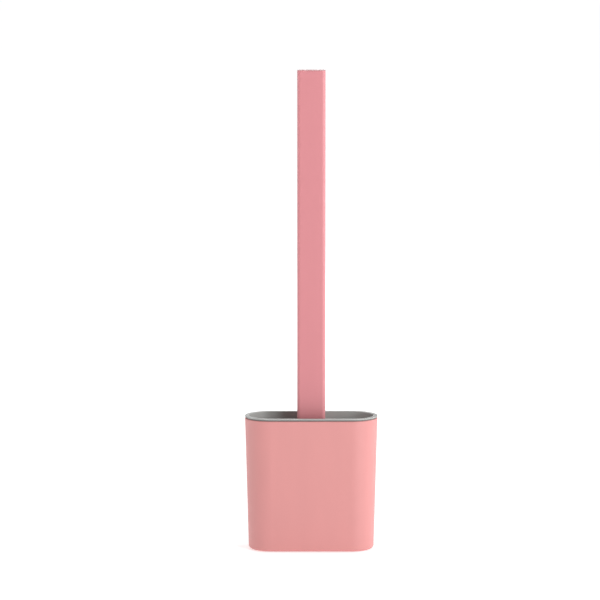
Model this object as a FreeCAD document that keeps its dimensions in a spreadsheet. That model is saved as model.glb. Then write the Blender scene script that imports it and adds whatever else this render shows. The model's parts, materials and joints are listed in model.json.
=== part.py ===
import FreeCAD, Part
import math
import os
import Sketcher
from FreeCAD import Vector

# A flat-headed toilet brush standing in a slim holder.
#
# The holder is a drafted shell with straight long sides and round ends, on four rubber feet.
# A grey liner drops into it and hangs from its own lip, over a dry space that catches drips.
# The brush is a hollow bar closed by a plug at the top. A rigid core snaps into its lower end,
# and a soft head with bristles on both faces and round its edge is moulded over that core.
#
# Millimetres. +Z is up, X runs along the holder's long side, -Y is the front.
# The origin is on the floor, under the middle of the holder.

DIMENSIONS = [
    # the holder's shell
    ("holder_width", 121.7, "outside width at the top of the shell"),
    ("holder_depth", 48.0, "outside depth at the top of the shell, twice the radius of its ends"),
    ("shell_height", 121.8, "from the shell's underside to its top edge"),
    ("side_draft", 1.55, "slope of every side wall, in degrees"),
    ("shell_wall", 2.0, "wall and floor of the shell"),
    ("shell_base_round", 3.0, "round between the shell's sides and its underside"),
    ("shell_rim_round", 0.9, "round on the outside of the shell's top edge"),
    ("gate_recess", 0.3, "depth of the shallow dish round the moulding gate, under the shell"),
    ("gate_recess_width", 9.0, "diameter of that dish"),
    ("gate_mark", 1.8, "diameter of the gate's cut-off stub, which ends level with the dish's mouth"),
    # its feet
    ("foot_diameter", 10.0, "rubber foot"),
    ("foot_thickness", 1.6, "rubber foot"),
    ("foot_stand", 0.5, "how far a foot stands out below the shell"),
    ("foot_clearance", 0.1, "between a foot and the side of its seat"),
    ("foot_margin", 3.0, "from a foot's seat to the start of the base round"),
    ("foot_edge", 0.5, "round at a foot's lower edge"),
    # the liner
    ("liner_gap", 0.4, "between the shell's inside and the liner's outside"),
    ("liner_wall", 1.6, "wall and floor of the liner"),
    ("liner_base_round", 5.0, "round between the liner's sides and its underside"),
    ("sump_height", 9.6, "free space between the shell's floor and the liner"),
    ("reveal_height", 1.2, "height of the shadow gap under the lip"),
    ("reveal_depth", 1.2, "depth of the shadow gap under the lip"),
    ("lip_height", 1.0, "height of the lip above the shadow gap"),
    ("lip_round", 0.5, "rounds on the lip's top edges"),
    ("slot_width", 3.0, "drain slot"),
    ("slot_margin", 4.0, "from a drain slot's end to the start of the liner's round"),
    ("rib_height", 2.2, "ribs on the liner's floor that the brush stands on"),
    ("rib_width", 1.6, "ribs on the liner's floor"),
    # the handle
    ("brush_top", 441.2, "top of the handle above the floor"),
    ("handle_width", 25.7, "handle bar"),
    ("handle_depth", 13.0, "handle bar"),
    ("handle_corner", 3.0, "round on the bar's long edges"),
    ("handle_wall", 1.8, "wall of the bar"),
    ("plug_cap", 1.5, "visible thickness of the plug in the bar's top"),
    ("plug_round", 0.7, "round on the plug's top edge"),
    ("plug_depth", 12.0, "length of the plug inside the bar"),
    ("plug_wall", 1.5, "wall of the plug inside the bar"),
    ("insert_clearance", 0.1, "between the bar's inside and what slides into it"),
    # the head's core
    ("tang_length", 24.0, "part of the core inside the bar"),
    ("collar_height", 6.0, "part of the core between the bar and the soft head"),
    ("window_width", 8.0, "window in the bar for a snap barb"),
    ("window_height", 4.5, "window in the bar for a snap barb"),
    ("window_corner", 0.6, "round in the corners of a window"),
    ("window_rise", 9.0, "from the bar's lower end to the window"),
    ("barb_clearance", 0.2, "between a barb and its window"),
    ("barb_height", 1.3, "how far a barb stands out of the tang"),
    ("spine_width", 15.0, "thick part of the core inside the neck"),
    ("spine_depth", 6.0, "thick part of the core inside the neck"),
    ("spine_corner", 1.5, "round on the spine's long edges"),
    ("blade_thickness", 3.0, "thin part of the core inside the paddle"),
    ("blade_margin", 19.0, "from the blade's edge to the paddle's edge"),
    ("anchor_diameter", 8.0, "holes in the blade that the soft head flows through"),
    # the soft head
    ("head_rest", 0.3, "between the ribs and the lowest bristle"),
    ("head_clearance", 3.2, "between the bristle tips and the liner, at the liner's floor"),
    ("paddle_height", 60.0, "flat part of the soft head"),
    ("paddle_thickness", 7.0, "flat part of the soft head"),
    ("paddle_low_corner", 26.0, "corner radius at the bottom"),
    ("paddle_high_corner", 16.0, "corner radius at the top"),
    ("paddle_round", 2.4, "round on the paddle's edges"),
    ("neck_length", 14.5, "from the paddle's top to the collar"),
    ("neck_sink", 12.0, "how far the neck runs down into the paddle"),
    ("neck_spread", 40.0, "width of the neck where it meets the paddle"),
    ("neck_low_corner", 2.3, "round on the neck's long edges where it meets the paddle"),
    ("edge_bristle", 7.0, "length of the bristles round the paddle's edge"),
    ("edge_pitch", 5.6, "spacing of the bristles round the edge"),
    ("bristle_root", 2.7, "diameter of a bristle at its root"),
    ("bristle_taper", 2.6, "slope of a bristle's side, in degrees"),
    ("bristle_pitch", 6.4, "spacing of the bristles on the faces"),
    ("bristle_margin", 5.0, "from the paddle's edge to the nearest bristle"),
]

OVERRUN = 1.0           # how far a cut runs past the material, and a bristle's root starts inside it
FOOT_PLACES = {
    "foot_front_left": (-1, -1),
    "foot_front_right": (1, -1),
    "foot_back_left": (-1, 1),
    "foot_back_right": (1, 1),
}
SAME = 1e-5             # two heights closer than this are one height
BRISTLES_PER_RIB = 3    # every third bristle of the lower edge stands over a rib of the liner

doc = FreeCAD.newDocument("toilet_brush_holder")
dims = doc.addObject("Spreadsheet::Sheet", "Dims")
for row, (alias, size, note) in enumerate(DIMENSIONS, start=1):
    dims.set(f"A{row}", alias)
    dims.set(f"B{row}", str(size))
    dims.set(f"C{row}", note)
    dims.setAlias(f"B{row}", alias)
doc.recompute()

# Sizes and places that several pieces share, as expressions on the sheet.
END_CENTRES = "(Dims.holder_width - Dims.holder_depth)"
RIM_RADIUS = "Dims.holder_depth / 2"
SHELL_TOP = "(Dims.foot_stand + Dims.shell_height)"
LINER_RADIUS = "(Dims.holder_depth / 2 - Dims.shell_wall - Dims.liner_gap)"
LINER_BASE = "(Dims.foot_stand + Dims.shell_wall + Dims.sump_height)"
LINER_DEPTH = f"({SHELL_TOP} - {LINER_BASE})"
LINER_FLOOR = f"({LINER_BASE} + Dims.liner_wall)"
FLOOR_RADIUS = f"({LINER_RADIUS} - Dims.liner_wall - {LINER_DEPTH} * tan(Dims.side_draft * 1 deg))"
FLOOR_FLAT = f"({FLOOR_RADIUS} + Dims.liner_wall - Dims.liner_base_round)"
BASE_RADIUS = "(Dims.holder_depth / 2 - Dims.shell_height * tan(Dims.side_draft * 1 deg))"
BASE_FLAT = f"({BASE_RADIUS} - Dims.shell_base_round)"
FOOT_REACH = f"({BASE_FLAT} - Dims.foot_diameter / 2 - Dims.foot_clearance - Dims.foot_margin)"
PADDLE_BASE = f"({LINER_FLOOR} + Dims.rib_height + Dims.head_rest + Dims.edge_bristle)"
PADDLE_TOP = f"({PADDLE_BASE} + Dims.paddle_height)"
COLLAR_BASE = f"({PADDLE_TOP} + Dims.neck_length)"
BAR_BASE = f"({COLLAR_BASE} + Dims.collar_height)"
BAR_TOP = "(Dims.brush_top - Dims.plug_cap)"
HEAD_HALF_WIDTH = f"({END_CENTRES} / 2 + {FLOOR_RADIUS} - Dims.head_clearance)"
PADDLE_WIDTH = f"(2 * ({HEAD_HALF_WIDTH} - Dims.edge_bristle))"
BRISTLE_LENGTH = f"({FLOOR_RADIUS} - Dims.head_clearance - Dims.paddle_thickness / 2)"
BORE_WIDTH = "(Dims.handle_width - 2 * Dims.handle_wall)"
BORE_DEPTH = "(Dims.handle_depth - 2 * Dims.handle_wall)"
BORE_CORNER = "(Dims.handle_corner - Dims.handle_wall)"
INSERT_WIDTH = f"({BORE_WIDTH} - 2 * Dims.insert_clearance)"
INSERT_DEPTH = f"({BORE_DEPTH} - 2 * Dims.insert_clearance)"
INSERT_CORNER = f"({BORE_CORNER} - Dims.insert_clearance)"
BARB_WIDTH = "(Dims.window_width - 2 * Dims.barb_clearance)"
BARB_TALL = "(Dims.window_height - 2 * Dims.barb_clearance)"
BLADE_WIDTH = f"({PADDLE_WIDTH} - 2 * Dims.blade_margin)"
BLADE_BASE = f"({PADDLE_BASE} + Dims.blade_margin)"
BLADE_HEIGHT = "(Dims.paddle_height - Dims.blade_margin - 2 * Dims.paddle_round)"
RIB_PITCH = f"({BRISTLES_PER_RIB} * Dims.edge_pitch)"


def value(expression):
    """The number that an expression on the sheet comes to."""
    result = dims.evalExpression(expression)
    return float(getattr(result, "Value", result))


def new_body(label):
    body = doc.addObject("PartDesign::Body", label)
    body.Label = label
    return body


def new_sketch(body, name, plane, offset="0"):
    """An empty sketch on one of the body's own origin planes, moved along the plane's normal."""
    sketch = body.newObject("Sketcher::SketchObject", name)
    origin_plane = next(f for f in body.Origin.OriginFeatures if f.Role == plane)
    sketch.AttachmentSupport = [(origin_plane, "")]
    sketch.MapMode = "FlatFace"
    sketch.setExpression("AttachmentOffset.Base.z", offset)
    return sketch


def size_constraint(sketch, constraint, expression):
    """Adds a constraint whose value follows an expression on the sheet."""
    index = sketch.addConstraint(constraint)
    sketch.setExpression(f"Constraints[{index}]", expression)


def line(sketch, start, end):
    """A straight line between two points, each given as its two coordinates in the sketch."""
    return sketch.addGeometry(Part.LineSegment(Vector(*start, 0), Vector(*end, 0)))


def open_outline(sketch, points):
    for start, end in zip(points, points[1:]):
        line(sketch, start, end)


def arc(sketch, centre, radius, from_degrees, to_degrees):
    circle = Part.Circle(Vector(*centre, 0), Vector(0, 0, 1), radius)
    turn = (math.radians(from_degrees), math.radians(to_degrees))
    return sketch.addGeometry(Part.ArcOfCircle(circle, *turn))


def add_stadium(sketch, centres, radius):
    """A closed outline of two straight sides and two half-round ends, centred on the sketch."""
    half = value(centres) / 2
    r = value(radius)
    back = line(sketch, (-half, r), (half, r))
    right = arc(sketch, (half, 0), r, -90, 90)
    front = line(sketch, (half, -r), (-half, -r))
    left = arc(sketch, (-half, 0), r, 90, 270)
    sketch.addConstraint([
        Sketcher.Constraint("Tangent", back, 2, right, 2),
        Sketcher.Constraint("Tangent", right, 1, front, 1),
        Sketcher.Constraint("Tangent", front, 2, left, 2),
        Sketcher.Constraint("Tangent", left, 1, back, 1),
        Sketcher.Constraint("Equal", left, right),
        Sketcher.Constraint("Symmetric", left, 3, right, 3, -1, 1),
        Sketcher.Constraint("PointOnObject", right, 3, -1),
    ])
    size_constraint(sketch, Sketcher.Constraint("Radius", right, r), radius)
    size_constraint(sketch, Sketcher.Constraint("DistanceX", left, 3, right, 3, 2 * half), centres)


def add_rounded_box(sketch, width, height, low_corner, high_corner=None, base=None):
    """A rectangle with round corners, centred across the sketch.

    It is centred up the sketch too, or stands on the height given as base."""
    high_corner = high_corner or low_corner
    half = value(width) / 2
    low = value(base) if base else -value(height) / 2
    high = low + value(height)
    r = value(low_corner)
    s = value(high_corner)
    bottom = line(sketch, (-half + r, low), (half - r, low))
    low_right = arc(sketch, (half - r, low + r), r, -90, 0)
    right = line(sketch, (half, low + r), (half, high - s))
    high_right = arc(sketch, (half - s, high - s), s, 0, 90)
    top = line(sketch, (half - s, high), (-half + s, high))
    high_left = arc(sketch, (-half + s, high - s), s, 90, 180)
    left = line(sketch, (-half, high - s), (-half, low + r))
    low_left = arc(sketch, (-half + r, low + r), r, 180, 270)
    sketch.addConstraint([
        Sketcher.Constraint("Tangent", bottom, 2, low_right, 1),
        Sketcher.Constraint("Tangent", low_right, 2, right, 1),
        Sketcher.Constraint("Tangent", right, 2, high_right, 1),
        Sketcher.Constraint("Tangent", high_right, 2, top, 1),
        Sketcher.Constraint("Tangent", top, 2, high_left, 1),
        Sketcher.Constraint("Tangent", high_left, 2, left, 1),
        Sketcher.Constraint("Tangent", left, 2, low_left, 1),
        Sketcher.Constraint("Tangent", low_left, 2, bottom, 1),
        Sketcher.Constraint("Horizontal", bottom),
        Sketcher.Constraint("Vertical", right),
        Sketcher.Constraint("Horizontal", top),
        Sketcher.Constraint("Vertical", left),
        Sketcher.Constraint("Equal", low_left, low_right),
        Sketcher.Constraint("Equal", high_left, high_right),
    ])
    size_constraint(sketch, Sketcher.Constraint("Radius", low_right, r), low_corner)
    size_constraint(sketch, Sketcher.Constraint("Radius", high_right, s), high_corner)
    size_constraint(sketch, Sketcher.Constraint("DistanceX", -1, 1, right, 1, half), f"{width} / 2")
    size_constraint(sketch, Sketcher.Constraint("DistanceX", left, 1, -1, 1, half), f"{width} / 2")
    reach = Sketcher.Constraint("DistanceY", bottom, 1, top, 2, high - low)
    size_constraint(sketch, reach, height)
    if base:
        size_constraint(sketch, Sketcher.Constraint("DistanceY", -1, 1, bottom, 1, low), base)
    else:
        below = Sketcher.Constraint("DistanceY", bottom, 1, -1, 1, -low)
        size_constraint(sketch, below, f"{height} / 2")


def add_circle(sketch, x, y, diameter):
    centre = Vector(value(x), value(y), 0)
    ring = sketch.addGeometry(Part.Circle(centre, Vector(0, 0, 1), value(diameter) / 2))
    size_constraint(sketch, Sketcher.Constraint("DistanceX", -1, 1, ring, 3, centre.x), x)
    size_constraint(sketch, Sketcher.Constraint("DistanceY", -1, 1, ring, 3, centre.y), y)
    size_constraint(sketch, Sketcher.Constraint("Diameter", ring, value(diameter)), diameter)


def extrude(body, kind, name, sketch, length, reverse=False, both_ways=False, taper=None):
    """A Pad or a Pocket, which has to change the body's volume."""
    before = body.Shape.Volume if body.Tip else 0.0
    feature = body.newObject(f"PartDesign::{kind}", name)
    feature.Profile = sketch
    feature.setExpression("Length", length)
    feature.Reversed = reverse
    feature.Midplane = both_ways
    if taper:
        feature.setExpression("TaperAngle", taper)
    doc.recompute()
    grown = feature.Shape.Volume - before
    if (grown <= 0) if kind == "Pad" else (grown >= 0):
        raise ValueError(f"{body.Label}: {kind} {name} changed the volume by {grown:.3f}")
    return feature


def faces_at(feature, z):
    """Names of the flat faces that lie at one height."""
    shape = feature.Shape
    return [
        f"Face{n}"
        for n, face in enumerate(shape.Faces, start=1)
        if abs(face.BoundBox.ZMin - z) < SAME and abs(face.BoundBox.ZMax - z) < SAME
    ]


def edges_at(feature, z, wanted=lambda edge: True):
    """Names of the edges that lie at one height and pass a test."""
    return [
        f"Edge{n}"
        for n, edge in enumerate(feature.Shape.Edges, start=1)
        if abs(edge.BoundBox.ZMin - z) < SAME
        and abs(edge.BoundBox.ZMax - z) < SAME
        and wanted(edge)
    ]


def fillet(body, name, feature, edges, radius):
    rounded = body.newObject("PartDesign::Fillet", name)
    rounded.Base = (feature, edges)
    rounded.setExpression("Radius", radius)
    doc.recompute()
    return rounded


def drafted_cup(body, top, depth, radius, base_round, wall):
    """An open cup with a stadium plan: full size at the top, narrower below, and of one wall."""
    plan = new_sketch(body, "rim_plan", "XY_Plane", top)
    add_stadium(plan, END_CENTRES, radius)
    block = extrude(body, "Pad", "block", plan, depth, reverse=True)
    z_top = value(top)
    z_base = z_top - value(depth)
    sides = [
        f"Face{n}"
        for n, face in enumerate(block.Shape.Faces, start=1)
        if face.BoundBox.ZLength > SAME
    ]
    draft = body.newObject("PartDesign::Draft", "side_draft")
    draft.Base = (block, sides)
    draft.NeutralPlane = (block, faces_at(block, z_top))
    draft.Reversed = True
    draft.setExpression("Angle", "Dims.side_draft")
    doc.recompute()
    base = fillet(body, "base_round", draft, edges_at(draft, z_base), base_round)
    cup = body.newObject("PartDesign::Thickness", "hollow")
    cup.Base = (base, faces_at(base, z_top))
    cup.setExpression("Value", wall)
    cup.Reversed = True
    doc.recompute()
    return cup


def outside_of(radius):
    """A test for edges on the outer loop of a rim whose ends have about this radius."""
    reach = value(END_CENTRES) / 2 + value(radius)

    def test(edge):
        box = edge.BoundBox
        far_x = max(abs(box.XMin), abs(box.XMax))
        far_y = max(abs(box.YMin), abs(box.YMax))
        return abs(far_x - reach) < 0.1 or abs(far_y - value(radius)) < 0.1

    return test


def make_outer_shell():
    body = new_body("outer_shell")
    cup = drafted_cup(
        body, SHELL_TOP, "Dims.shell_height", RIM_RADIUS, "Dims.shell_base_round", "Dims.shell_wall"
    )
    rim_edges = edges_at(cup, value(SHELL_TOP), outside_of(RIM_RADIUS))
    fillet(body, "rim_round", cup, rim_edges, "Dims.shell_rim_round")
    seats = new_sketch(body, "foot_seats", "XY_Plane", "Dims.foot_stand")
    for x_sign, y_sign in FOOT_PLACES.values():
        add_circle(
            seats,
            f"{x_sign} * {END_CENTRES} / 2",
            f"{y_sign} * {FOOT_REACH}",
            "Dims.foot_diameter + 2 * Dims.foot_clearance",
        )
    extrude(body, "Pocket", "foot_seat_cut", seats, "Dims.foot_thickness - Dims.foot_stand", reverse=True)
    dish = new_sketch(body, "gate_dish", "XY_Plane", "Dims.foot_stand")
    add_circle(dish, "0", "0", "Dims.gate_recess_width")
    add_circle(dish, "0", "0", "Dims.gate_mark")
    extrude(body, "Pocket", "gate_dish_cut", dish, "Dims.gate_recess", reverse=True)
    return body


def make_foot(label, x_sign, y_sign):
    body = new_body(label)
    disc = new_sketch(body, "disc", "XY_Plane")
    add_circle(disc, "0", "0", "Dims.foot_diameter")
    pad = extrude(body, "Pad", "pad", disc, "Dims.foot_thickness")
    fillet(body, "edge", pad, edges_at(pad, 0.0), "Dims.foot_edge")
    body.setExpression("Placement.Base.x", f"{x_sign} * {END_CENTRES} / 2")
    body.setExpression("Placement.Base.y", f"{y_sign} * {FOOT_REACH}")
    return body


def spread(count, pitch):
    """Places of a row of things, centred on zero."""
    return [(n - (count - 1) / 2) * pitch for n in range(count)]


def make_inner_liner():
    body = new_body("inner_liner")
    cup = drafted_cup(
        body, SHELL_TOP, LINER_DEPTH, LINER_RADIUS, "Dims.liner_base_round", "Dims.liner_wall"
    )
    mouth = f"{LINER_RADIUS} - Dims.liner_wall"
    step_plan = new_sketch(body, "step_plan", "XY_Plane", SHELL_TOP)
    add_stadium(step_plan, END_CENTRES, f"{RIM_RADIUS} - Dims.reveal_depth")
    add_stadium(step_plan, END_CENTRES, mouth)
    extrude(body, "Pad", "lip_step", step_plan, "Dims.reveal_height")
    lip_plan = new_sketch(body, "lip_plan", "XY_Plane", f"{SHELL_TOP} + Dims.reveal_height")
    add_stadium(lip_plan, END_CENTRES, RIM_RADIUS)
    add_stadium(lip_plan, END_CENTRES, mouth)
    lip = extrude(body, "Pad", "lip", lip_plan, "Dims.lip_height")
    lip_top = value(f"{SHELL_TOP} + Dims.reveal_height + Dims.lip_height")
    fillet(body, "lip_rounds", lip, edges_at(lip, lip_top), "Dims.lip_round")

    # Slots cross the floor from front to back, with a rib midway between each two.
    pitch = value(RIB_PITCH)
    flat_length = value(f"{END_CENTRES} + 2 * {FLOOR_FLAT} - Dims.slot_width")
    slot_count = 2 * int((flat_length / pitch + 1) // 2)
    half_length = value(f"{FLOOR_FLAT} - Dims.slot_margin")
    slot_half = value("Dims.slot_width / 2")
    rib_half = value("Dims.rib_width / 2")
    straight = half_length - slot_half
    slots = new_sketch(body, "drain_slot_plan", "XY_Plane", LINER_FLOOR)
    for x in spread(slot_count, pitch):
        line(slots, (x + slot_half, -straight), (x + slot_half, straight))
        arc(slots, (x, straight), slot_half, 0, 180)
        line(slots, (x - slot_half, straight), (x - slot_half, -straight))
        arc(slots, (x, -straight), slot_half, 180, 360)
    extrude(body, "Pocket", "drain_slots", slots, f"Dims.liner_wall + {OVERRUN}")
    ribs = new_sketch(body, "rest_rib_plan", "XY_Plane", LINER_FLOOR)
    for x in spread(slot_count - 1, pitch):
        corner = (x - rib_half, -half_length)
        open_outline(ribs, [
            corner,
            (x + rib_half, -half_length),
            (x + rib_half, half_length),
            (x - rib_half, half_length),
            corner,
        ])
    extrude(body, "Pad", "rest_ribs", ribs, "Dims.rib_height")
    return body


def make_handle_tube():
    body = new_body("handle_tube")
    outline = new_sketch(body, "outline", "XY_Plane", BAR_BASE)
    add_rounded_box(outline, "Dims.handle_width", "Dims.handle_depth", "Dims.handle_corner")
    add_rounded_box(outline, BORE_WIDTH, BORE_DEPTH, BORE_CORNER)
    extrude(body, "Pad", "bar", outline, f"{BAR_TOP} - {BAR_BASE}")
    window = new_sketch(body, "window_outline", "XZ_Plane")
    add_rounded_box(
        window, "Dims.window_width", "Dims.window_height", "Dims.window_corner",
        base=f"({BAR_BASE} + Dims.window_rise)",
    )
    extrude(body, "Pocket", "window", window, "Dims.handle_depth * 2", both_ways=True)
    return body


def make_handle_plug():
    body = new_body("handle_plug")
    cap_plan = new_sketch(body, "cap_plan", "XY_Plane", BAR_TOP)
    add_rounded_box(cap_plan, "Dims.handle_width", "Dims.handle_depth", "Dims.handle_corner")
    cap = extrude(body, "Pad", "cap", cap_plan, "Dims.plug_cap")
    fillet(body, "cap_round", cap, edges_at(cap, value("Dims.brush_top")), "Dims.plug_round")
    spigot_plan = new_sketch(body, "spigot_plan", "XY_Plane", BAR_TOP)
    add_rounded_box(spigot_plan, INSERT_WIDTH, INSERT_DEPTH, INSERT_CORNER)
    wall = "2 * Dims.plug_wall"
    add_rounded_box(
        spigot_plan, f"({INSERT_WIDTH} - {wall})", f"({INSERT_DEPTH} - {wall})", INSERT_CORNER
    )
    extrude(body, "Pad", "spigot", spigot_plan, "Dims.plug_depth", reverse=True)
    return body


def make_head_core():
    body = new_body("head_core")
    tang_plan = new_sketch(body, "tang_plan", "XY_Plane", BAR_BASE)
    add_rounded_box(tang_plan, INSERT_WIDTH, INSERT_DEPTH, INSERT_CORNER)
    extrude(body, "Pad", "tang", tang_plan, "Dims.tang_length")
    collar_plan = new_sketch(body, "collar_plan", "XY_Plane", COLLAR_BASE)
    add_rounded_box(collar_plan, "Dims.handle_width", "Dims.handle_depth", "Dims.handle_corner")
    extrude(body, "Pad", "collar", collar_plan, "Dims.collar_height")

    spine_plan = new_sketch(body, "spine_plan", "XY_Plane", COLLAR_BASE)
    add_rounded_box(spine_plan, "Dims.spine_width", "Dims.spine_depth", "Dims.spine_corner")
    extrude(body, "Pad", "spine", spine_plan, "Dims.neck_length + Dims.neck_sink", reverse=True)
    blade_plan = new_sketch(body, "blade_plan", "XZ_Plane")
    add_rounded_box(
        blade_plan, BLADE_WIDTH, BLADE_HEIGHT, "Dims.anchor_diameter", base=BLADE_BASE
    )
    anchor_row = f"{BLADE_BASE} + Dims.anchor_diameter * 1.5"
    for place in (-1, 0, 1):
        add_circle(
            blade_plan, f"{place} * {BLADE_WIDTH} / 3", anchor_row, "Dims.anchor_diameter"
        )
    extrude(body, "Pad", "blade", blade_plan, "Dims.blade_thickness", both_ways=True)

    # A barb is a wedge: it slopes out from its top, and its flat shoulder faces down.
    face = value(INSERT_DEPTH) / 2
    low = value(f"{BAR_BASE} + Dims.window_rise + Dims.barb_clearance")
    high = low + value(BARB_TALL)
    out = value("Dims.barb_height")
    for side, sign in (("front", -1), ("back", 1)):
        profile = new_sketch(body, f"{side}_barb_profile", "YZ_Plane")
        corner = (sign * (face - OVERRUN), low)
        open_outline(profile, [
            corner,
            (sign * (face + out), low),
            (sign * face, high),
            (sign * (face - OVERRUN), high),
            corner,
        ])
        extrude(body, "Pad", f"{side}_barb", profile, BARB_WIDTH, both_ways=True)
    return body


def in_paddle(x, z, margin):
    """Whether a point of the paddle's plan is at least margin inside its outline."""
    half = value(PADDLE_WIDTH) / 2
    low = value(PADDLE_BASE)
    high = value(PADDLE_TOP)
    middle = (low + high) / 2
    corner = value("Dims.paddle_low_corner") if z < middle else value("Dims.paddle_high_corner")
    past_x = max(abs(x) - (half - corner), 0.0)
    past_z = max(low + corner - z, z - (high - corner), 0.0)
    return math.hypot(past_x, past_z) <= corner - margin


def bristle_places():
    """Staggered rows over the paddle's face, clear of its edge and of the neck."""
    pitch = value("Dims.bristle_pitch")
    row_pitch = pitch * math.sqrt(3) / 2
    low = value(PADDLE_BASE)
    margin = value("Dims.bristle_margin")
    neck_low = value(f"{PADDLE_TOP} - Dims.neck_sink")
    neck_half = value("Dims.neck_spread / 2 + Dims.bristle_root / 2")
    half_columns = int(value(PADDLE_WIDTH) / pitch / 2) + 1
    places = []
    for row in range(int(value("Dims.paddle_height") / row_pitch) + 1):
        z = low + margin + row * row_pitch
        shift = pitch / 2 * (row % 2)
        for column in range(-half_columns, half_columns + 1):
            x = column * pitch + shift
            on_neck = z > neck_low - margin / 2 and abs(x) < neck_half
            if in_paddle(x, z, margin) and not on_neck:
                places.append((x, z))
    return places


def edge_places():
    """Roots and directions of the bristles round the bottom and the sides of the paddle.

    The row along the bottom has one bristle in the middle, which stands over the middle rib."""
    half = value(PADDLE_WIDTH) / 2
    low = value(PADDLE_BASE)
    corner = value("Dims.paddle_low_corner")
    pitch = value("Dims.edge_pitch")
    side_length = value("Dims.paddle_height - Dims.paddle_high_corner") - corner
    bottom_count = 2 * int((half - corner) // pitch) + 1
    corner_count = int(math.radians(90) * corner // pitch) + 1
    side_count = int(side_length // pitch) + 1
    places = [(x, low, -90.0) for x in spread(bottom_count, pitch)]
    for side in (-1, 1):
        for n in range(corner_count):
            angle = -90.0 + 90.0 * (n + 0.5) / corner_count
            x = half - corner + corner * math.cos(math.radians(angle))
            z = low + corner + corner * math.sin(math.radians(angle))
            places.append((side * x, z, angle if side > 0 else 180.0 - angle))
        for n in range(side_count):
            z = low + corner + (n + 0.5) * pitch
            places.append((side * half, z, 0.0 if side > 0 else 180.0))
    return places


def add_edge_bristle(sketch, x, z, angle):
    """A tapered finger with a round tip, which starts inside the paddle and points straight out."""
    out = Vector(math.cos(math.radians(angle)), math.sin(math.radians(angle)), 0)
    across = Vector(-out.y, out.x, 0)
    root = value("Dims.bristle_root") / 2
    tip = root - value("Dims.edge_bristle * tan(Dims.bristle_taper * 1 deg)")
    edge = Vector(x, z, 0)
    start = edge - out * (OVERRUN + value("Dims.paddle_round"))
    end = edge + out * (value("Dims.edge_bristle") - tip)
    stations = [(end, tip), (edge, root), (start, root)]
    left_side = [centre + across * reach for centre, reach in stations]
    right_side = [centre - across * reach for centre, reach in reversed(stations)]
    open_outline(sketch, [(point.x, point.y) for point in left_side + right_side])
    arc(sketch, (end.x, end.y), tip, angle - 90.0, angle + 90.0)


def make_brush_head(core):
    """The soft head, moulded round the core: the core's own shape is cut out of it."""
    body = new_body("head_moulding")
    outline = new_sketch(body, "outline", "XZ_Plane")
    add_rounded_box(
        outline, PADDLE_WIDTH, "Dims.paddle_height",
        "Dims.paddle_low_corner", "Dims.paddle_high_corner", base=PADDLE_BASE,
    )
    slab = extrude(body, "Pad", "paddle", outline, "Dims.paddle_thickness", both_ways=True)
    half_thick = value("Dims.paddle_thickness") / 2
    rim = [
        f"Edge{n}"
        for n, edge in enumerate(slab.Shape.Edges, start=1)
        if abs(abs(edge.CenterOfMass.y) - half_thick) < SAME
    ]
    fillet(body, "paddle_edges", slab, rim, "Dims.paddle_round")

    neck_low = new_sketch(body, "neck_low", "XY_Plane", f"{PADDLE_TOP} - Dims.neck_sink")
    add_rounded_box(neck_low, "Dims.neck_spread", "Dims.paddle_thickness", "Dims.neck_low_corner")
    neck_high = new_sketch(body, "neck_high", "XY_Plane", COLLAR_BASE)
    add_rounded_box(neck_high, "Dims.handle_width", "Dims.handle_depth", "Dims.handle_corner")
    neck = body.newObject("PartDesign::AdditiveLoft", "neck")
    neck.Profile = neck_low
    neck.Sections = [neck_high]
    neck.Ruled = True
    doc.recompute()

    roots = f"Dims.paddle_thickness / 2 - {OVERRUN}"
    for side, sign in (("front", 1), ("back", -1)):
        plan = new_sketch(body, f"{side}_bristle_roots", "XZ_Plane", f"{sign} * ({roots})")
        for x, z in bristle_places():
            root = Part.Circle(Vector(x, z, 0), Vector(0, 0, 1), value("Dims.bristle_root") / 2)
            plan.addGeometry(root)
        extrude(
            body, "Pad", f"{side}_bristles", plan, f"{BRISTLE_LENGTH} + {OVERRUN}",
            reverse=sign < 0, taper="-Dims.bristle_taper",
        )

    edge_plan = new_sketch(body, "edge_bristle_outlines", "XZ_Plane")
    for x, z, angle in edge_places():
        add_edge_bristle(edge_plan, x, z, angle)
    extrude(body, "Pad", "edge_bristles", edge_plan, "Dims.bristle_root", both_ways=True)

    head = doc.addObject("Part::Cut", "brush_head")
    head.Label = "brush_head"
    head.Base = body
    head.Tool = core
    return head


core = make_head_core()
sub_parts = [
    make_outer_shell(),
    *(make_foot(label, *signs) for label, signs in FOOT_PLACES.items()),
    make_inner_liner(),
    make_handle_tube(),
    make_handle_plug(),
    core,
    make_brush_head(core),
]
doc.recompute()

for thing in doc.Objects:
    if {"Invalid", "Error"} & set(thing.State):
        raise ValueError(f"{thing.Label} failed: {thing.State}")
for piece in sub_parts:
    if piece.Shape.isNull() or not piece.Shape.isValid():
        raise ValueError(f"{piece.Label} has no valid shape")

os.makedirs("parts", exist_ok=True)
for piece in sub_parts:
    piece.Shape.exportStep(f"parts/{piece.Label}.step")
    solids = len(piece.Shape.Solids)
    print(f"{piece.Label}: {solids} solid, {piece.Shape.Volume / 1000:.2f} cm3")
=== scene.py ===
import json
import math
import random

import bmesh
import bpy
import numpy as np
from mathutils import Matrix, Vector
from mathutils.geometry import delaunay_2d_cdt


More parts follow.
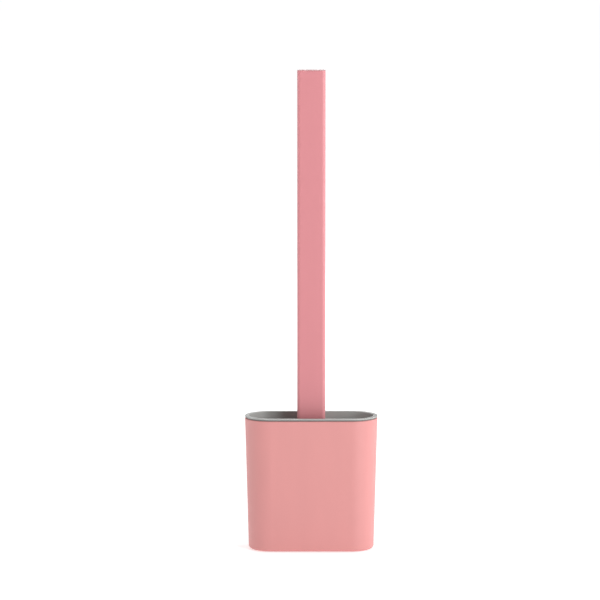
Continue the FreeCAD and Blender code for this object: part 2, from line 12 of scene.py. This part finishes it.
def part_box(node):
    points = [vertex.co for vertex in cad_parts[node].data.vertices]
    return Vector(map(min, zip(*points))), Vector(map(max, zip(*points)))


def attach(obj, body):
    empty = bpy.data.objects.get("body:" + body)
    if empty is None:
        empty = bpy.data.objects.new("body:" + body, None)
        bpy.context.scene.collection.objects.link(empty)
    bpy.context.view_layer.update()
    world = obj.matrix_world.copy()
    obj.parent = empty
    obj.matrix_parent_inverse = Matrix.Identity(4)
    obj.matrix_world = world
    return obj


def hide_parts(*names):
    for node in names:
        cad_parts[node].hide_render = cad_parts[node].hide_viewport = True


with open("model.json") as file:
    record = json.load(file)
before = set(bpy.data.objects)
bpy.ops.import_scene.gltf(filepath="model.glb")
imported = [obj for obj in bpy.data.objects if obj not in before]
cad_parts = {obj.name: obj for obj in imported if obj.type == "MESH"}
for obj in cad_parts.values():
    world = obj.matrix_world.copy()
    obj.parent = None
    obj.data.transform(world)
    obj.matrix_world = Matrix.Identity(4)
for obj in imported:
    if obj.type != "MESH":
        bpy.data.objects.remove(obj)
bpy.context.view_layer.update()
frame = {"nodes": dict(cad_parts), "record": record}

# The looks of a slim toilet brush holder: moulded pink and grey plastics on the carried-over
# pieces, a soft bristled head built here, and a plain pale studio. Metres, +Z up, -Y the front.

MM = 0.001


# ---------------------------------------------------------------- node helpers

class Nodes:
    """A short way to write a material's nodes: each call makes a node and returns an output."""

    def __init__(self, name):
        self.material = bpy.data.materials.new(name)
        self.material.use_nodes = True
        self.tree = self.material.node_tree
        self.shader = self.tree.nodes["Principled BSDF"]
        self.place = self.make("ShaderNodeTexCoord").outputs["Object"]

    def make(self, kind, settings=None, **inputs):
        node = self.tree.nodes.new(kind)
        for key, setting in (settings or {}).items():
            setattr(node, key, setting)
        for key, given in inputs.items():
            self.set(node.inputs[key.replace("_", " ")], given)
        return node

    def set(self, socket, given):
        if isinstance(given, bpy.types.NodeSocket):
            self.tree.links.new(given, socket)
        else:
            socket.default_value = given

    def stretched(self, scale):
        """The piece's own coordinates, multiplied along each axis."""
        node = self.make("ShaderNodeMapping", Vector=self.place)
        node.inputs["Scale"].default_value = scale
        return node.outputs["Vector"]

    def noise(self, feature, detail=2.0, roughness=0.5, vector=None):
        """Noise from 0 to 1 with features of about this size in metres."""
        node = self.make(
            "ShaderNodeTexNoise", Vector=vector or self.place, Scale=1.0 / feature,
            Detail=detail, Roughness=roughness,
        )
        return node.outputs["Fac"]

    def remap(self, source, low, high, to_low, to_high):
        node = self.make("ShaderNodeMapRange", Value=source)
        for index, number in enumerate((low, high, to_low, to_high), start=1):
            node.inputs[index].default_value = number
        return node.outputs["Result"]

    def math(self, operation, first, second=0.0):
        node = self.make("ShaderNodeMath", {"operation": operation})
        self.set(node.inputs[0], first)
        self.set(node.inputs[1], second)
        return node.outputs["Value"]

    def split(self, vector):
        """The three coordinates of a vector."""
        return self.make("ShaderNodeSeparateXYZ", Vector=vector).outputs

    def length(self, first, second):
        """The length of a vector in a plane."""
        squares = (self.math("MULTIPLY", first, first), self.math("MULTIPLY", second, second))
        return self.math("SQRT", self.math("ADD", *squares))

    def blend(self, amount, first, second):
        """From one colour to another."""
        node = self.make("ShaderNodeMix", {"data_type": "RGBA"})
        self.set(node.inputs["Factor"], amount)
        self.set(node.inputs["A"], first)
        self.set(node.inputs["B"], second)
        return node.outputs["Result"]

    def bump(self, height, distance, strength=1.0, under=None):
        node = self.make("ShaderNodeBump", Height=height, Distance=distance, Strength=strength)
        if under:
            self.set(node.inputs["Normal"], under)
        return node.outputs["Normal"]

    def finish(self, **inputs):
        for key, given in inputs.items():
            self.set(self.shader.inputs[key.replace("_", " ")], given)
        return self.material


def tone(colour, factor):
    return tuple(min(channel * factor, 1.0) for channel in colour[:3]) + (1.0,)


# ---------------------------------------------------------------- materials

PINK_SHELL = (0.625, 0.260, 0.252, 1.0)
PINK_HANDLE = (0.590, 0.214, 0.234, 1.0)
GREY_LINER = (0.387, 0.394, 0.379, 1.0)
GREY_CORE = (0.330, 0.330, 0.335, 1.0)
GREY_HEAD = (0.400, 0.400, 0.405, 1.0)
GREY_FOOT = (0.110, 0.110, 0.115, 1.0)

PLASTIC_IOR = 1.49
FLOW_SIZE = 22 * MM
PIGMENT_SIZE = 1.6 * MM
WAVE_SIZE = 14 * MM
WAVE_DEPTH = 0.05 * MM
GRAIN_SIZE = 0.32 * MM
GRAIN_DEPTH = 0.012 * MM

RUBBER_IOR = 1.48
MOTTLE_SIZE = 6 * MM
MOTTLE_DEPTH = 0.06 * MM
BLOOM_SIZE = 0.9 * MM
SKIN_SIZE = 0.5 * MM
SKIN_DEPTH = 0.03 * MM
GLOW_REACH = 1.2 * MM

# Painted shade: the gap between the liner's lip and the shell's edge, seen on the liner's outer
# wall, is darkened in the liner's colour to stand for the shade under the lip.
SHELL_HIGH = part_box("outer_shell")[1]
LINER_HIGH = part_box("inner_liner")[1]
RIM_RADIUS = LINER_HIGH.y
RIM_HALF_STRAIGHT = LINER_HIGH.x - LINER_HIGH.y
LIP_HEIGHT = 1.0 * MM
GAP_LOW = SHELL_HIGH.z
GAP_HIGH = LINER_HIGH.z - LIP_HEIGHT
GAP_REACH = 2.0 * MM
GAP_FADE = 0.05 * MM
GAP_SHADE_TONE = 0.45


def painted_gap_shade(m):
    """1 on the liner's outer wall inside the gap under its lip, where the colour is darkened as
    painted shade.
    """
    along, across, up = m.split(m.place)
    beyond = m.math("SUBTRACT", m.math("ABSOLUTE", along), RIM_HALF_STRAIGHT)
    past_ends = m.math("MAXIMUM", beyond, 0.0)
    from_middle = m.length(past_ends, across)
    outer = m.math("GREATER_THAN", from_middle, RIM_RADIUS - GAP_REACH)
    above_shell = m.remap(up, GAP_LOW - GAP_FADE, GAP_LOW, 0.0, 1.0)
    below_lip = m.remap(up, GAP_HIGH - GAP_FADE, GAP_HIGH + GAP_FADE, 1.0, 0.0)
    return m.math("MULTIPLY", outer, m.math("MULTIPLY", above_shell, below_lip))


def moulded_plastic(
        name, colour, roughness, flow=(1.0, 1.0, 0.25), grain=GRAIN_SIZE, painted_shade=None):
    """Injection-moulded plastic: a fine etched grain, faint streaks along the flow, soft gloss, and
    painted shade where a mask is given.
    """
    m = Nodes(name)
    clouds = m.noise(FLOW_SIZE, detail=3.0, vector=m.stretched(flow))
    pigment = m.noise(PIGMENT_SIZE, detail=2.0)
    base = m.blend(m.remap(clouds, 0.3, 0.7, 0.0, 1.0), tone(colour, 0.975), tone(colour, 1.02))
    base = m.blend(m.remap(pigment, 0.35, 0.65, 0.0, 0.35), base, tone(colour, 0.985))
    # Painted shade: the colour is darkened wherever the given mask is 1.
    if painted_shade:
        base = m.blend(painted_shade(m), base, tone(colour, GAP_SHADE_TONE))
    etched = m.noise(grain, detail=3.0, roughness=0.6)
    waves = m.noise(WAVE_SIZE, detail=1.0)
    rough = m.math("ADD", m.remap(waves, 0.3, 0.7, roughness - 0.03, roughness + 0.03),
                   m.remap(etched, 0.3, 0.7, -0.03, 0.03))
    normal = m.bump(waves, WAVE_DEPTH, 0.35)
    normal = m.bump(etched, GRAIN_DEPTH, 0.4, under=normal)
    return m.finish(Base_Color=base, Roughness=rough, Normal=normal, IOR=PLASTIC_IOR)


def soft_rubber(name, colour, roughness, glow=0.0):
    """Matte thermoplastic rubber: a mottled skin with a pale bloom, and with glow light enters."""
    m = Nodes(name)
    mottle = m.noise(MOTTLE_SIZE, detail=4.0, roughness=0.6)
    bloom = m.noise(BLOOM_SIZE, detail=2.0)
    base = m.blend(m.remap(mottle, 0.3, 0.7, 0.0, 1.0), tone(colour, 0.94), tone(colour, 1.05))
    base = m.blend(m.remap(bloom, 0.5, 0.75, 0.0, 0.3), base, tone(colour, 1.12))
    skin = m.noise(SKIN_SIZE, detail=4.0, roughness=0.65)
    rough = m.remap(mottle, 0.3, 0.7, roughness - 0.05, roughness + 0.05)
    normal = m.bump(mottle, MOTTLE_DEPTH, 0.4)
    normal = m.bump(skin, SKIN_DEPTH, 0.5, under=normal)
    inputs = dict(Base_Color=base, Roughness=rough, Normal=normal, IOR=RUBBER_IOR)
    if glow:
        m.shader.subsurface_method = "BURLEY"
        inputs.update(Subsurface_Weight=glow, Subsurface_Scale=GLOW_REACH)
    return m.finish(**inputs)


MATERIALS = {
    "shell_pink": moulded_plastic("pink_shell_plastic", PINK_SHELL, 0.46),
    "handle_pink": moulded_plastic("pink_handle_plastic", PINK_HANDLE, 0.44, flow=(1.0, 1.0, 0.08)),
    # The liner's plastic carries painted shade in the gap under its lip.
    "liner_grey": moulded_plastic("grey_liner_plastic", GREY_LINER, 0.38, painted_shade=painted_gap_shade),
    "core_grey": moulded_plastic("grey_core_plastic", GREY_CORE, 0.42, grain=0.25 * MM),
    "head_soft": soft_rubber("grey_head_rubber", GREY_HEAD, 0.58, glow=0.2),
    "foot_rubber": soft_rubber("dark_foot_rubber", GREY_FOOT, 0.75),
}


def dress_carried_pieces():
    """Every CAD node takes the material of its own slot."""
    for row in frame["record"]["subparts"]:
        mesh = frame["nodes"][row["node"]].data
        mesh.materials.clear()
        mesh.materials.append(MATERIALS[row["material_slot"]])


# ---------------------------------------------------------------- the soft head

HEAD_LOW, HEAD_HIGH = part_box("brush_head")
COLLAR_LOW = HEAD_HIGH.z
TUBE_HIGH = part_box("handle_tube")[1]

EDGE_BRISTLE = 7.0 * MM
EDGE_PITCH = 5.6 * MM
FACE_PITCH = 6.4 * MM
FACE_MARGIN = 5.0 * MM
BRISTLE_RADIUS = 1.35 * MM
TIP_RADIUS = 0.85 * MM
PADDLE_HALF_WIDTH = HEAD_HIGH.x - EDGE_BRISTLE
PADDLE_LOW = HEAD_LOW.z + EDGE_BRISTLE
PADDLE_HEIGHT = 60.0 * MM
PADDLE_TOP = PADDLE_LOW + PADDLE_HEIGHT
PADDLE_HALF_THICK = 3.5 * MM
PADDLE_CROWN = 0.35 * MM
LOW_CORNER = 26.0 * MM
HIGH_CORNER = 16.0 * MM
EDGE_ROUND = 2.4 * MM
NECK_ROUND = 3.0 * MM
NECK_SINK = 12.0 * MM
NECK_FILLET = 5.0 * MM
SEAM_ROUND = 0.35 * MM
NECK_HALF_WIDTH = TUBE_HIGH.x
NECK_HALF_DEPTH = TUBE_HIGH.y
NECK_FOOT_HALF_WIDTH = 20.0 * MM
NECK_FOOT_HALF_DEPTH = PADDLE_HALF_THICK * 0.9

# The neck's thickness fades into the paddle between these shares of the neck's half width, and
# spreads over its whole width this far below the collar.
FLANK_FROM = 0.45
FLANK_TO = 1.15
FLANK_BELOW_COLLAR = 4.0 * MM

# Rings of points follow the silhouette at these insets, in edge rounds, and draw together near
# the collar, where the edge is cut off. An even grid fills the rest.
RING_INSETS = (0.06, 0.2, 0.45, 0.8, 1.25)
RING_SHARE_AT_COLLAR = 0.12
RING_SPREAD = 4.0 * MM
GRID_PITCH = 2.0 * MM
TRIANGLES_INSIDE_EDGES = 1
MERGE_DISTANCE = 1e-9

# Each bristle flares where it leaves the paddle (mm along, in bristle radii), then tapers to a
# round tip (shares of the straight part, then degrees round the tip).
ROOT_FLARE = ((-1.1, 1.9), (-0.25, 1.55), (0.15, 1.25), (0.6, 1.07), (1.2, 1.0))
TAPER_SHARES = (0.4, 0.7, 1.0)
TIP_TURNS = (30, 60, 80)
BRISTLE_SIDES = 10

# How bristles differ, in mm: the range cut from their length, and the mean and spread of a lean.
HEAD_SEED = 7
FACE_CUT = (0.05, 0.5)
FACE_LEAN_ACROSS = (0, 0.35)
FACE_LEAN_UP = (-0.25, 0.3)
EDGE_CUT = (0.0, 0.3)
EDGE_LEAN = (0, 0.3)


def smooth(low, high, x):
    """0 below low, 1 above high, with an even turn between."""
    t = np.clip((x - low) / (high - low), 0.0, 1.0)
    return t * t * (3.0 - 2.0 * t)


def arc_points(cx, cz, radius, start, stop, count):
    """Points along an arc, its angles in degrees, without the last point."""
    angles = np.radians(np.linspace(start, stop, count, endpoint=False))
    return [(cx + radius * math.cos(a), cz + radius * math.sin(a)) for a in angles]


def straight_points(start, stop, count):
    """Points along a straight run, without the last point."""
    across, up = stop[0] - start[0], stop[1] - start[1]
    return [(start[0] + across * n / count, start[1] + up * n / count) for n in range(count)]


def neck_half_width(z):
    """Half the neck's width at a height: it narrows evenly from the paddle to the collar."""
    low = PADDLE_TOP - NECK_SINK
    share = (z - low) / (COLLAR_LOW - low)
    return NECK_FOOT_HALF_WIDTH + (NECK_HALF_WIDTH - NECK_FOOT_HALF_WIDTH) * share


def right_side_outline():
    """The head's silhouette from the bottom's middle, up the right side, to the collar's edge."""
    half = PADDLE_HALF_WIDTH
    fillet_x = neck_half_width(PADDLE_TOP + NECK_FILLET) + NECK_FILLET
    lean = math.degrees(math.atan2(
        neck_half_width(PADDLE_TOP) - NECK_HALF_WIDTH, COLLAR_LOW - PADDLE_TOP))
    low_x, low_z = half - LOW_CORNER, PADDLE_LOW + LOW_CORNER
    high_x, high_z = half - HIGH_CORNER, PADDLE_TOP - HIGH_CORNER
    top = (NECK_HALF_WIDTH, COLLAR_LOW)
    points = straight_points((0.0, PADDLE_LOW), (low_x, PADDLE_LOW), count=6)
    points += arc_points(low_x, low_z, LOW_CORNER, -90, 0, count=22)
    points += straight_points((half, low_z), (half, high_z), count=6)
    points += arc_points(high_x, high_z, HIGH_CORNER, 0, 90, count=16)
    points += straight_points((high_x, PADDLE_TOP), (fillet_x, PADDLE_TOP), count=4)
    points += arc_points(
        fillet_x, PADDLE_TOP + NECK_FILLET, NECK_FILLET, -90, -180 + lean, count=8)
    points += straight_points(points[-1], top, count=9)[1:]
    return points + [top]


def head_outline():
    """The silhouette anticlockwise from the bottom's middle: its right side, top and left side."""
    right = right_side_outline()
    left = [(-x, z) for x, z in reversed(right[1:])]
    top = straight_points(right[-1], left[0], count=12)[1:]
    return np.array(right), np.array(top), np.array(left)


def nearest_on(polyline, points):
    """Distance from each point to an open polyline."""
    best = np.full(len(points), np.inf)
    for start, run in zip(polyline[:-1], polyline[1:] - polyline[:-1]):
        share = np.clip(((points - start) @ run) / (run @ run), 0.0, 1.0)
        foot = start + share[:, None] * run
        best = np.minimum(best, np.linalg.norm(points - foot, axis=1))
    return best


RIGHT_SIDE, TOP_SIDE, LEFT_SIDE = head_outline()
SIDES = np.vstack([LEFT_SIDE, RIGHT_SIDE])


def half_thickness(points):
    """Half the head's thickness over points of its plan, with its crown, neck and round edges."""
    x = np.abs(points[:, 0])
    z = points[:, 1]
    across_share = x / PADDLE_HALF_WIDTH
    up_share = (z - PADDLE_LOW) / (PADDLE_TOP - PADDLE_LOW) - 0.5
    paddle = PADDLE_HALF_THICK - PADDLE_CROWN * (across_share ** 2 + up_share ** 2)
    rise = smooth(PADDLE_TOP - NECK_SINK, COLLAR_LOW, z)
    neck = NECK_FOOT_HALF_DEPTH + (NECK_HALF_DEPTH - NECK_FOOT_HALF_DEPTH) * rise
    across = 1.0 - smooth(FLANK_FROM, FLANK_TO, x / neck_half_width(z))
    flank = across + (1.0 - across) * smooth(PADDLE_TOP, COLLAR_LOW - FLANK_BELOW_COLLAR, z)
    thick = paddle + np.maximum(neck - paddle, 0.0) * flank
    to_side = nearest_on(SIDES, points)
    radius = EDGE_ROUND + (NECK_ROUND - EDGE_ROUND) * smooth(PADDLE_TOP, COLLAR_LOW, z)
    inset = np.clip(1.0 - to_side / radius, 0.0, 1.0)
    thick = thick - radius * (1.0 - np.sqrt(1.0 - inset ** 2))
    seam = np.clip(1.0 - (COLLAR_LOW - z) / SEAM_ROUND, 0.0, 1.0)
    return thick - SEAM_ROUND * (1.0 - np.sqrt(1.0 - seam ** 2))


def inward(outline):
    """The direction into the head at each point of its closed silhouette."""
    ahead = np.roll(outline, -1, axis=0) - outline
    behind = outline - np.roll(outline, 1, axis=0)
    ahead /= np.linalg.norm(ahead, axis=1)[:, None]
    behind /= np.linalg.norm(behind, axis=1)[:, None]
    along = ahead + behind
    along /= np.linalg.norm(along, axis=1)[:, None]
    return np.stack([-along[:, 1], along[:, 0]], axis=1)


def within(outline, points):
    """Which points lie inside a closed outline, by counting crossings to the right."""
    x, z = points[:, 0, None], points[:, 1, None]
    x_from, z_from = outline.T
    x_to, z_to = np.roll(outline, -1, axis=0).T
    rise = np.where(z_to == z_from, 1.0, z_to - z_from)
    crosses = (z_from > z) != (z_to > z)
    to_the_right = x < x_from + (z - z_from) * (x_to - x_from) / rise
    return np.sum(crosses & to_the_right, axis=1) % 2 == 1


def plan_points(outline):
    """Points over the head's plan: rings that follow the silhouette, then an even grid inside."""
    normals = inward(outline)
    below_collar = COLLAR_LOW - outline[:, 1]
    depth = np.minimum(1.0, RING_SHARE_AT_COLLAR + below_collar / RING_SPREAD)
    rings = [outline]
    for inset in RING_INSETS:
        ring = outline + normals * (inset * EDGE_ROUND * depth)[:, None]
        ring[:, 1] = np.minimum(ring[:, 1], COLLAR_LOW)
        rings.append(ring)
    xs = np.arange(-PADDLE_HALF_WIDTH, PADDLE_HALF_WIDTH, GRID_PITCH)
    zs = np.arange(PADDLE_LOW, COLLAR_LOW - GRID_PITCH / 2, GRID_PITCH)
    grid = np.stack(np.meshgrid(xs, zs), axis=-1).reshape(-1, 2)
    clear = nearest_on(SIDES, grid) > RING_INSETS[-1] * EDGE_ROUND + GRID_PITCH / 2
    return np.vstack(rings + [grid[clear & within(outline, grid)]])


def paddle_mesh(bm):
    """The paddle and its neck as one closed skin: the same triangles on both faces, and a wall."""
    outline = np.vstack([RIGHT_SIDE, TOP_SIDE, LEFT_SIDE])
    count = len(outline)
    edges = [(n, (n + 1) % count) for n in range(count)]
    given = [Vector(point) for point in plan_points(outline)]
    plan, _, triangles, _, _, _ = delaunay_2d_cdt(
        given, edges, [], TRIANGLES_INSIDE_EDGES, MERGE_DISTANCE, False)
    plan = np.array(plan)
    centres = plan[np.array(triangles)].mean(axis=1)
    heights = half_thickness(plan)
    front = [bm.verts.new((x, -y, z)) for (x, z), y in zip(plan, heights)]
    back = [bm.verts.new((x, y, z)) for (x, z), y in zip(plan, heights)]
    for (a, b, c), inside in zip(triangles, within(outline, centres)):
        if inside:
            bm.faces.new((front[a], front[b], front[c]))
            bm.faces.new((back[c], back[b], back[a]))
    for low, high in edges:
        bm.faces.new((front[high], front[low], back[low], back[high]))


def bristle(bm, root, direction, length, bend):
    """A tapered finger that flares where it leaves the paddle, leans a little, and ends round."""
    direction = direction.normalized()
    across = direction.orthogonal().normalized()
    other = direction.cross(across)
    turns = [2 * math.pi * n / BRISTLE_SIDES for n in range(BRISTLE_SIDES)]
    straight = length - TIP_RADIUS
    stations = [(along * MM, share * BRISTLE_RADIUS) for along, share in ROOT_FLARE]
    for share in TAPER_SHARES:
        stations.append((straight * share, BRISTLE_RADIUS + (TIP_RADIUS - BRISTLE_RADIUS) * share))
    for turn in TIP_TURNS:
        angle = math.radians(turn)
        stations.append((straight + TIP_RADIUS * math.sin(angle), TIP_RADIUS * math.cos(angle)))
    rings = []
    for along, radius in stations:
        lean = bend * max(along / length, 0.0) ** 2
        centre = root + direction * along + lean
        rings.append([
            bm.verts.new(centre + radius * (across * math.cos(turn) + other * math.sin(turn)))
            for turn in turns
        ])
    for low, high in zip(rings, rings[1:]):
        for n in range(BRISTLE_SIDES):
            m = (n + 1) % BRISTLE_SIDES
            bm.faces.new((low[n], low[m], high[m], high[n]))
    bm.faces.new(rings[0][::-1])
    bm.faces.new(rings[-1])


def face_bristle_places():
    """Staggered rows over the face, clear of the silhouette and of the neck."""
    row_pitch = FACE_PITCH * math.sqrt(3) / 2
    columns = int(PADDLE_HALF_WIDTH / FACE_PITCH) + 1
    neck_half = NECK_FOOT_HALF_WIDTH + BRISTLE_RADIUS
    places = []
    for row in range(int((PADDLE_TOP - PADDLE_LOW) / row_pitch) + 1):
        z = PADDLE_LOW + FACE_MARGIN + row * row_pitch
        for column in range(-columns, columns + 1):
            x = (column + 0.5 * (row % 2)) * FACE_PITCH
            on_neck = z > PADDLE_TOP - NECK_SINK - FACE_MARGIN / 2 and abs(x) < neck_half
            if in_paddle(x, z) and not on_neck:
                places.append((x, z))
    return places


def in_paddle(x, z):
    """Whether a point of the plan is in the paddle and clear of its edge."""
    middle = (PADDLE_LOW + PADDLE_TOP) / 2
    corner = LOW_CORNER if z < middle else HIGH_CORNER
    past_x = max(abs(x) - (PADDLE_HALF_WIDTH - corner), 0.0)
    past_z = max(PADDLE_LOW + corner - z, z - (PADDLE_TOP - corner), 0.0)
    return math.hypot(past_x, past_z) <= corner - FACE_MARGIN


def edge_bristle_places():
    """Roots of the bristles round the bottom and the sides, and the angles they point at."""
    half = PADDLE_HALF_WIDTH
    bottom = 2 * int((half - LOW_CORNER) // EDGE_PITCH) + 1
    turning = int(math.radians(90) * LOW_CORNER // EDGE_PITCH) + 1
    upright = int((PADDLE_TOP - HIGH_CORNER - PADDLE_LOW - LOW_CORNER) // EDGE_PITCH) + 1
    places = [((n - (bottom - 1) / 2) * EDGE_PITCH, PADDLE_LOW, -90.0) for n in range(bottom)]
    for side in (-1, 1):
        for n in range(turning):
            angle = -90.0 + 90.0 * (n + 0.5) / turning
            x = half - LOW_CORNER + LOW_CORNER * math.cos(math.radians(angle))
            z = PADDLE_LOW + LOW_CORNER + LOW_CORNER * math.sin(math.radians(angle))
            places.append((side * x, z, angle if side > 0 else 180.0 - angle))
        for n in range(upright):
            z = PADDLE_LOW + LOW_CORNER + (n + 0.5) * EDGE_PITCH
            places.append((side * half, z, 0.0 if side > 0 else 180.0))
    return places


def make_head():
    """The soft head: its skin and every bristle, each with its own small lean."""
    rng = random.Random(HEAD_SEED)
    bm = bmesh.new()
    paddle_mesh(bm)
    places = np.array(face_bristle_places())
    heights = half_thickness(places)
    for side in (-1, 1):
        for (x, z), y in zip(places, heights):
            length = HEAD_HIGH.y - y - rng.uniform(*FACE_CUT) * MM
            bend = Vector((rng.gauss(*FACE_LEAN_ACROSS), 0.0, rng.gauss(*FACE_LEAN_UP))) * MM
            bristle(bm, Vector((x, side * y, z)), Vector((0, side, 0)), length, bend)
    for x, z, degrees in edge_bristle_places():
        angle = math.radians(degrees)
        out = Vector((math.cos(angle), 0.0, math.sin(angle)))
        length = EDGE_BRISTLE - rng.uniform(*EDGE_CUT) * MM
        bend = Vector((0.0, rng.gauss(*EDGE_LEAN) * MM, 0.0))
        bristle(bm, Vector((x, 0.0, z)), out, length, bend)
    bmesh.ops.recalc_face_normals(bm, faces=bm.faces)
    mesh = bpy.data.meshes.new("soft_head")
    bm.to_mesh(mesh)
    bm.free()
    mesh.shade_smooth()
    mesh.materials.append(MATERIALS["head_soft"])
    head = bpy.data.objects.new("soft_head", mesh)
    bpy.context.scene.collection.objects.link(head)
    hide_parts("brush_head")
    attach(head, "brush")


# ---------------------------------------------------------------- the studio

FLOOR_RADIUS = 60.0
FLOOR_COLOUR = (0.86, 0.86, 0.86, 1.0)
WHITE = (1.0, 1.0, 1.0, 1.0)
FLOOR_GLOW = 0.46
FLOOR_GLOW_FAR = 0.80
GLOW_NEAR_REACH = 0.4
GLOW_FAR_REACH = 2.5
AMBIENT = 0.24

LIT_POINT = Vector((0.0, 0.0, 0.15))
LIGHT_DISTANCE = 2.0
SOFTBOX_SIZE = (1.0, 1.2)
OVERHEAD_SIZE = (1.4, 1.4)

CAMERA_PLACE = (-0.0103, -3.0, 0.6289)
CAMERA_DOWN = 7.5555
CAMERA_LENS = 198.58
CAMERA_SENSOR = 36.0
CAMERA_REACH = 200.0


def make_floor():
    """A plain pale floor that reaches past every view and brightens away from the middle."""
    m = Nodes("pale_floor")
    spread = m.make("ShaderNodeVectorMath", {"operation": "LENGTH"}, Vector=m.place)
    glow = m.remap(
        spread.outputs["Value"], GLOW_NEAR_REACH, GLOW_FAR_REACH, FLOOR_GLOW, FLOOR_GLOW_FAR)
    m.finish(
        Base_Color=FLOOR_COLOUR, Roughness=0.9, Emission_Color=WHITE, Emission_Strength=glow)
    m.shader.inputs["Specular IOR Level"].default_value = 0.0
    bm = bmesh.new()
    bmesh.ops.create_circle(bm, cap_ends=True, segments=96, radius=FLOOR_RADIUS)
    mesh = bpy.data.meshes.new("floor")
    bm.to_mesh(mesh)
    bm.free()
    mesh.materials.append(m.material)
    floor = bpy.data.objects.new("floor", mesh)
    bpy.context.scene.collection.objects.link(floor)


def make_softbox(name, azimuth, elevation, power, size=SOFTBOX_SIZE):
    """A soft light aimed at the object. Azimuth 0 is the camera's side and 90 is the right."""
    turn = math.radians(azimuth)
    rise = math.radians(elevation)
    level = math.cos(rise)
    away = Vector((math.sin(turn) * level, -math.cos(turn) * level, math.sin(rise)))
    data = bpy.data.lights.new(name, "AREA")
    data.shape = "RECTANGLE"
    data.size, data.size_y = size
    data.energy = power
    light = bpy.data.objects.new(name, data)
    light.location = LIT_POINT + away * LIGHT_DISTANCE
    light.rotation_euler = (-away).to_track_quat("-Z", "Y").to_euler()
    bpy.context.scene.collection.objects.link(light)


def make_world():
    """An even pale surround: bright where it is seen, softer where it lights."""
    world = bpy.data.worlds.new("pale_surround")
    world.use_nodes = True
    tree = world.node_tree
    background = tree.nodes["Background"]
    background.inputs["Color"].default_value = WHITE
    seen = tree.nodes.new("ShaderNodeLightPath")
    strength = tree.nodes.new("ShaderNodeMapRange")
    strength.inputs["To Min"].default_value = AMBIENT
    tree.links.new(seen.outputs["Is Camera Ray"], strength.inputs["Value"])
    tree.links.new(strength.outputs["Result"], background.inputs["Strength"])
    bpy.context.scene.world = world


def make_studio():
    make_floor()
    make_world()
    make_softbox("key", 41, 15, 28.5)
    make_softbox("right_rim", 110, 15, 16.5)
    make_softbox("left_fill", -95, 12, 14.0)
    make_softbox("back_fill", 190, 30, 9.0)
    make_softbox("overhead", 0, 85, 7.0, size=OVERHEAD_SIZE)
    bpy.context.scene.view_settings.view_transform = "Standard"


def make_camera():
    """A long lens 3 m away, looking slightly down, a centimetre to the object's left."""
    data = bpy.data.cameras.new("camera")
    data.sensor_width = CAMERA_SENSOR
    data.lens = CAMERA_LENS
    data.clip_end = CAMERA_REACH
    camera = bpy.data.objects.new("camera", data)
    camera.location = CAMERA_PLACE
    camera.rotation_euler = (math.radians(90.0 - CAMERA_DOWN), 0.0, 0.0)
    bpy.context.scene.collection.objects.link(camera)
    bpy.context.scene.camera = camera


make_camera()
dress_carried_pieces()
make_head()
make_studio()
